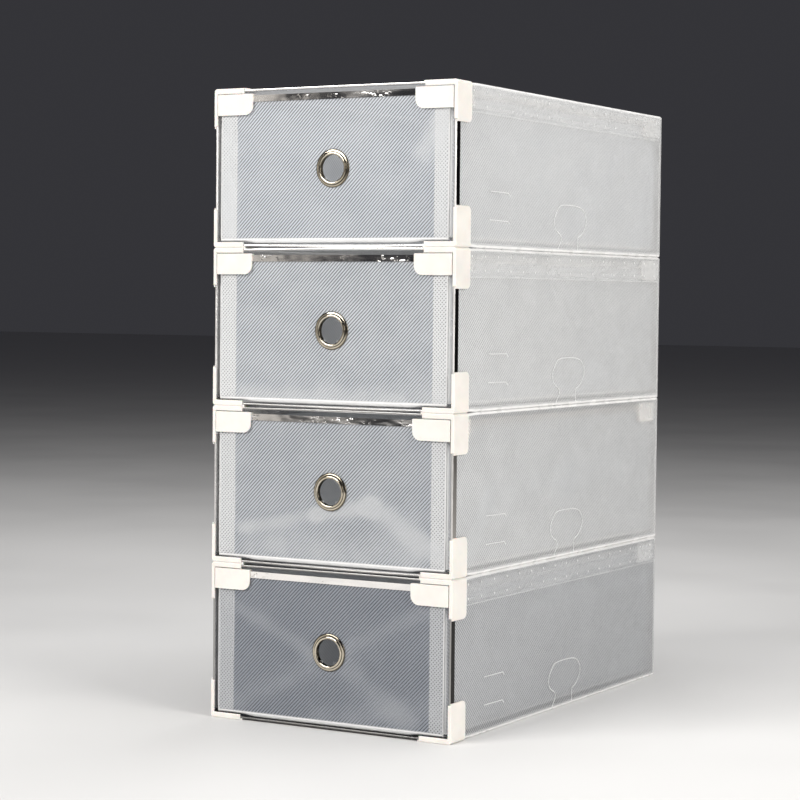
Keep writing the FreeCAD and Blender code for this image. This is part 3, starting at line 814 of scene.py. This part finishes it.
def mouth_strips(box, materials):
    """The folded steel strips that edge the sleeve's mouth; the long ones bow a little, as thin strips do."""
    low, high = box.mouth
    depth = high.y - low.y
    outline = strip_outline(STRIP_WIDTH, depth)
    back = Vector((0, 1, 0))
    pieces = []
    for label, z, up in (("bottom", low.z, -1), ("top", high.z, 1)):
        bow, lean, look = STRIP_SET[box.number][label]
        out = Vector((0, math.sin(math.radians(lean)) * up, math.cos(math.radians(lean)) * up))
        stations = []
        for k in range(STRIP_PARTS + 1):
            share = k / STRIP_PARTS
            rise = bow * MM * bulge(share**STRIP_SKEW)
            place = Vector((low.x + (high.x - low.x) * share, low.y, z + up * rise))
            stations.append((place, out, back))
        strip = [sweep(outline, stations)]
        pieces.append(solid_piece(f"{box.name}_{label}_strip", strip, materials[look], 60))
        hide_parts(f"{box.name}_mouth_strip_{label}")
    uprights = []
    for side in (-1, 1):
        stations = []
        for z in (low.z + STRIP_WIDTH, high.z - STRIP_WIDTH):
            stations.append((Vector((side * high.x, low.y, z)), Vector((side, 0, 0)), back))
        uprights.append(sweep(outline, stations))
    pieces.append(solid_piece(f"{box.name}_side_strips", uprights, materials["upright"][box.number], 60))
    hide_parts(f"{box.name}_mouth_strip_sides")
    return pieces


# ---- the drawer ------------------------------------------------------------------------------------------


def sag(along):
    """How far the drawer's floor hangs at that distance from the centre line."""
    share = min(max((SAG_START - abs(along)) / (SAG_START - SAG_FULL), 0), 1)
    return FLOOR_SAG * share * share * (3 - 2 * share)


def spread(box, z):
    """How far the drawer's sides stand out of their line at that height."""
    low, high = box.tray[0].z, box.node("drawer_front_caps")[0].z
    share = min(max(min((z - low) / SPREAD_RUNS[0], (high - z) / SPREAD_RUNS[1]), 0), 1)
    return SIDE_SPREAD * share * share * (3 - 2 * share)


def tray_sheet(box, materials):
    """The drawer's sheet: floor and sides, the two end panels, and the flaps folded behind them."""
    sheet = Sheet(DIMNESS[box.number] * TRAY_DIM)
    low, high = box.tray
    x = high.x - SHEET / 2
    y0, y1 = low.y + SHEET / 2, high.y - SHEET / 2
    floor, rim = low.z + SHEET / 2, high.z
    seed = box.number + 10

    line = folded_line([(-x, rim), (-x, floor), (x, floor), (x, rim)], radius=DRAWER_FOLD)
    reach = SHEET + DRAWER_FOLD + FOLD_RADIUS
    inner0, inner1 = y0 + reach, y1 - reach
    rows = []
    for y, _ in spaced(inner0, inner1, GRID_STEP):
        share = (y - inner0) / (inner1 - inner0)
        row = []
        for point, run, fold in line:
            place = Vector((point.x, y, point.y))
            wave = ripple(place, seed)
            if abs(point.x) > x - DRAWER_FOLD:
                uneven = bulge(share, (point.y - floor) / (rim - floor)) * TRAY_SIDE_WAVE * (wave - 1) * MM
                place.x += math.copysign(1, point.x) * (spread(box, point.y) + uneven)
            if point.y < floor + DRAWER_FOLD:
                place.z -= sag(point.x) + bulge(share) * TRAY_FLOOR_WAVE * wave * MM
            row.append((place, (run, y), fold, TRAY_HAZE, 0.0))
        rows.append(row)
    sheet.panel(rows)

    for y, inward in ((y0, 1), (y1, -1)):
        sheet.dim = DIMNESS[box.number] * (1 if inward > 0 else REAR_DIM)
        end_panel(sheet, box, PANEL_MARGINS[0] - x, x - PANEL_MARGINS[1], y, inward, floor, rim)
        for side in (-1, 1):
            end_flap(sheet, box, x, y, inward, side, floor, rim)
    return sheet.build(f"{box.name}_drawer_sheet", materials)


def end_panel(sheet, box, left, right, y, inward, floor, rim):
    """The front (inward +1) or rear panel of the drawer, folded up from its floor; the front has a hole."""
    step = GRID_STEP / 2
    foot = y + inward * (SHEET + DRAWER_FOLD)
    corners = [(foot + inward * FOLD_RADIUS, floor), (y, floor), (y, rim)]
    line = folded_line(corners, step, (floor + FLAP_RISE,), PANEL_FOLD)
    creases = FRONT_CREASES[box.number] if inward > 0 else []
    ring = box.node("finger_ring")
    hole = (ring[0] + ring[1]) / 2
    hole_radius = (ring[1].x - ring[0].x) / 2 - RING_GRIP if inward > 0 else 0.0
    flap = box.tray[1].x - SHEET / 2 - END_FLAP

    def from_hole(place):
        return math.hypot(place.x - hole.x, place.z - hole.z)

    rows = []
    for along, white in spaced(left, right, step, (-flap, flap)):
        row = []
        for point, run, fold in line:
            place = Vector((along, point.x, point.y))
            reach = max(0.0, (point.y - floor) / (rim - floor))
            wave = ripple(place, box.number * 3 + inward, 40 * MM)
            flatness = min(from_hole(place) / (3 * hole_radius), 1) ** 2 if hole_radius else 1
            bow = bulge((along - left) / (right - left), reach) * (PANEL_BOW + PANEL_WAVE * wave)
            place.y += inward * bow * MM * flatness
            place.z -= sag(along) * max(0.0, 1 - (point.y - floor) / PANEL_FOLD)
            haze_and_sheen = haze_and_sheen_at(creases, along, point.y - box.floor)
            backed = float(abs(along) > flap and floor + FLAP_RISE < point.y)
            if hole_radius and abs(from_hole(place) - hole_radius) < step * HOLE_SNAP:
                share = hole_radius / from_hole(place)
                place.x, place.z = hole.x + (place.x - hole.x) * share, hole.z + (place.z - hole.z) * share
            flat = (place.x, -inward * (run + PANEL_FLAT))
            row.append((place, flat, max(white, fold), haze_and_sheen, backed))
        rows.append(row if inward > 0 else row[::-1])
    sheet.panel(rows, lambda place: from_hole(place) < hole_radius + 0.02 * MM)


def end_flap(sheet, box, x, y, inward, side, floor, rim):
    """A flap of the drawer's side, turned in behind the end panel, with its lower corner cut off."""
    depth = y + inward * SHEET
    start = depth + inward * (DRAWER_FOLD + FOLD_RADIUS)
    corners = [(side * x, start), (side * x, depth), (side * (x - END_FLAP), depth)]
    line = folded_line(corners, radius=DRAWER_FOLD)
    low, high = floor + FLAP_RISE, rim - FLAP_DROP
    rows = []
    for z, white in spaced(low, high, GRID_STEP):
        row = []
        for point, run, fold in line:
            turned_in = (x - abs(point.x) - DRAWER_FOLD) / (END_FLAP - DRAWER_FOLD)
            inset = END_FLAP_CHAMFER * max(0.0, min(1.0, turned_in))
            lift = inset * (high - z) / (high - low)
            place = Vector((point.x, point.y + inward * END_FLAP_GAP, z + lift))
            place.x += side * spread(box, place.z) * (abs(point.x) - x + END_FLAP) / END_FLAP
            backed = float(abs(point.x) < x - DRAWER_FOLD)
            edge = max(white, fold * END_FLAP_WHITE)
            row.append((place, (side * z, -inward * run), edge, END_FLAP_HAZE, backed))
        rows.append(row if side * inward > 0 else row[::-1])
    sheet.panel(rows)


def turned(outline, centre, steps=72):
    """A closed outline of (radius, y) turned about the axis through centre along Y."""
    places, faces, count = [], [], len(outline)
    for k in range(steps):
        angle = 2 * math.pi * k / steps
        places += [centre + Vector((r * math.cos(angle), y, r * math.sin(angle))) for r, y in outline]
    for k in range(steps):
        here, there = k * count, (k + 1) % steps * count
        for j in range(count):
            n = (j + 1) % count
            faces.append((here + j, here + n, there + n, there + j))
    return places, faces


def finger_ring(box, material):
    """The eyelet: a round bead at its bore, a domed flange, and its back clinched over the washer."""
    low, high = box.node("finger_ring")
    rise, flange = RING_VALLEY, high.x - RING_GROOVE
    bead, half = (RING_BORE + RING_GROOVE) / 2, (RING_GROOVE - RING_BORE) / 2
    turn = [math.pi * k / 10 for k in range(11)]
    crest = box.tray[0].y - low.y - rise
    outline = [(bead - half * math.cos(a), -rise - crest * math.sin(a)) for a in turn]
    outline += [(RING_GROOVE + flange * math.sin(a / 2), -rise * math.cos(a / 2)) for a in turn[1:]]
    barrel = RING_BORE + RING_WALL
    outline += [(barrel, 0.0), (barrel, RING_BACK), (barrel + RING_CLINCH[0], RING_BACK)]
    outline += [(barrel + RING_CLINCH[1], RING_BACK + RING_LIP[0]), (RING_BORE, RING_BACK + RING_LIP[1])]
    centre = Vector(((low.x + high.x) / 2, box.tray[0].y, (low.z + high.z) / 2))
    piece = solid_piece(f"{box.name}_ring", [turned(outline, centre)], material, 50)
    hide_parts(f"{box.name}_finger_ring")
    return piece


# ---- assembly --------------------------------------------------------------------------------------------


def add_box(number, materials):
    """Builds one box's sheets and strips, and gives its other CAD nodes their materials."""
    box = Box(number)
    outer = sleeve_sheet(box, [materials[look] for look in ("sleeve", "plain", "white")])
    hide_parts(f"{box.name}_sleeve")
    details = [cut_lines(box, materials["white"]), weld_spots(box, materials["white"])]
    for piece in [outer] + details + mouth_strips(box, materials):
        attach(piece, box.name)
    inner = tray_sheet(box, [materials[look] for look in ("drawer", "plain", "white")])
    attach(inner, f"drawer{number}")
    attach(finger_ring(box, materials["ring"]), f"drawer{number}")
    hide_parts(f"{box.name}_drawer_tray")
    for name, material in materials["nodes"].items():
        dress(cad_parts[f"{box.name}_{name}"], material)


def dress(node, material):
    """Gives a CAD node its material, on all its slots."""
    if not node.data.materials:
        node.data.materials.append(material)
    for slot in node.material_slots:
        slot.material = material


def all_materials():
    rim = steel_strip("steel_rim", (0.3, 0.3, 1), 0.66, 0.45 * MM, dents=0.08 * MM)
    plastic, metal = corner_plastic(), ring_metal()
    corners = [f"bracket_{level}_{side}" for level in ("top", "bottom") for side in ("left", "right")]
    nodes = {name: plastic for name in corners + ["drawer_front_caps", "drawer_rear_caps"]}
    nodes.update({"drawer_rim_strip_front": rim, "drawer_rim_strips": rim})
    nodes["ring_washer"] = metal
    outer = (grey(0.58, 0.01), grey(0.98, 0.01), grey(0.55, 0.02))
    inner = (grey(0.08, -0.15), (0.77, 0.81, 0.885, 1), grey(0.05, -0.05))
    return {
        "ring": metal,
        "sleeve": ribbed_sheet("sleeve_sheet", *outer, 0.41, 0.56),
        "drawer": ribbed_sheet("drawer_sheet", *inner, 0.77, 0.81),
        "plain": plain_sheet(),
        "white": stressed_sheet(),
        # The steel strips: the level look, and two satin copies painted darker, which is painted shade
        "level": steel_strip("steel_strip_level", (0.25, 1, 1), 0.62, 0.12 * MM),
        "satin_shaded": steel_strip("steel_strip_satin_shaded", (0.25, 1, 1), 0.30, 0.12 * MM, 0.19),
        "dark": steel_strip("steel_strip_dark", (0.25, 1, 1), 0.16, 0.12 * MM, 0.19),
        "upright": {
            number: steel_strip(f"steel_strip_upright_{number}", (1, 1, 0.25), 0.62, 0.25 * MM, legs=legs)
            for number, legs in UPRIGHT_PAINTED_SHADES.items()
        },
        "nodes": nodes,
    }


def area_light(name, place, target, size, power, colour=(1, 1, 1)):
    """A square soft box at place, facing target."""
    data = bpy.data.lights.new(name, "AREA")
    data.shape = "RECTANGLE"
    data.size, data.size_y = size
    data.energy = power
    data.color = colour
    lamp = bpy.data.objects.new(name, data)
    bpy.context.scene.collection.objects.link(lamp)
    lamp.location = place
    lamp.rotation_euler = (Vector(place) - Vector(target)).to_track_quat("Z", "Y").to_euler()


def studio():
    """Pale floor, dark surroundings and soft boxes."""
    bpy.ops.mesh.primitive_plane_add(size=24)
    floor = bpy.context.object
    floor.name = "studio_floor"
    floor.data.materials.append(pale_floor())
    world = bpy.data.worlds.new("studio")
    world.use_nodes = True
    world.node_tree.nodes["Background"].inputs[0].default_value = (0.035, 0.035, 0.04, 1)
    bpy.context.scene.world = world
    centre = (0, 0, 0.21)
    area_light("key", (-0.7, -1.9, 1.3), centre, (1.4, 0.9), 48, (1.0, 0.99, 0.97))
    area_light("card", (-1.75, -1.75, 0.30), centre, (1.2, 0.9), 2.4, (1.0, 0.95, 0.88))
    area_light("side", (2.1, -0.5, 0.9), centre, (1.2, 1.2), 42, (1.0, 0.985, 0.95))
    area_light("top", (0.1, 0.2, 1.9), centre, (1.4, 1.4), 30)


def camera():
    """A long lens from the front right, a little above the middle of the column."""
    azimuth, elevation, roll = math.radians(29.861), math.radians(2.568), math.radians(0.568)
    place = Vector((0.7743, -1.4180, 0.2827))
    data = bpy.data.cameras.new("camera")
    data.lens = 102.46
    data.sensor_width = 36
    item = bpy.data.objects.new("camera", data)
    bpy.context.scene.collection.objects.link(item)
    level = math.cos(elevation)
    back = Vector((math.sin(azimuth) * level, -math.cos(azimuth) * level, math.sin(elevation)))
    right = Vector((math.cos(azimuth), math.sin(azimuth), 0))
    up = back.cross(right)
    turned_right = right * math.cos(roll) + up * math.sin(roll)
    turned_up = up * math.cos(roll) - right * math.sin(roll)
    turn = Matrix((turned_right, turned_up, back)).transposed().to_4x4()
    item.matrix_world = Matrix.Translation(place) @ turn
    bpy.context.scene.camera = item


camera()
studio()
shared = all_materials()
for number in BOXES:
    add_box(number, shared)

scene = bpy.context.scene
scene.cycles.transparent_max_bounces = 40
scene.view_settings.view_transform = "Standard"
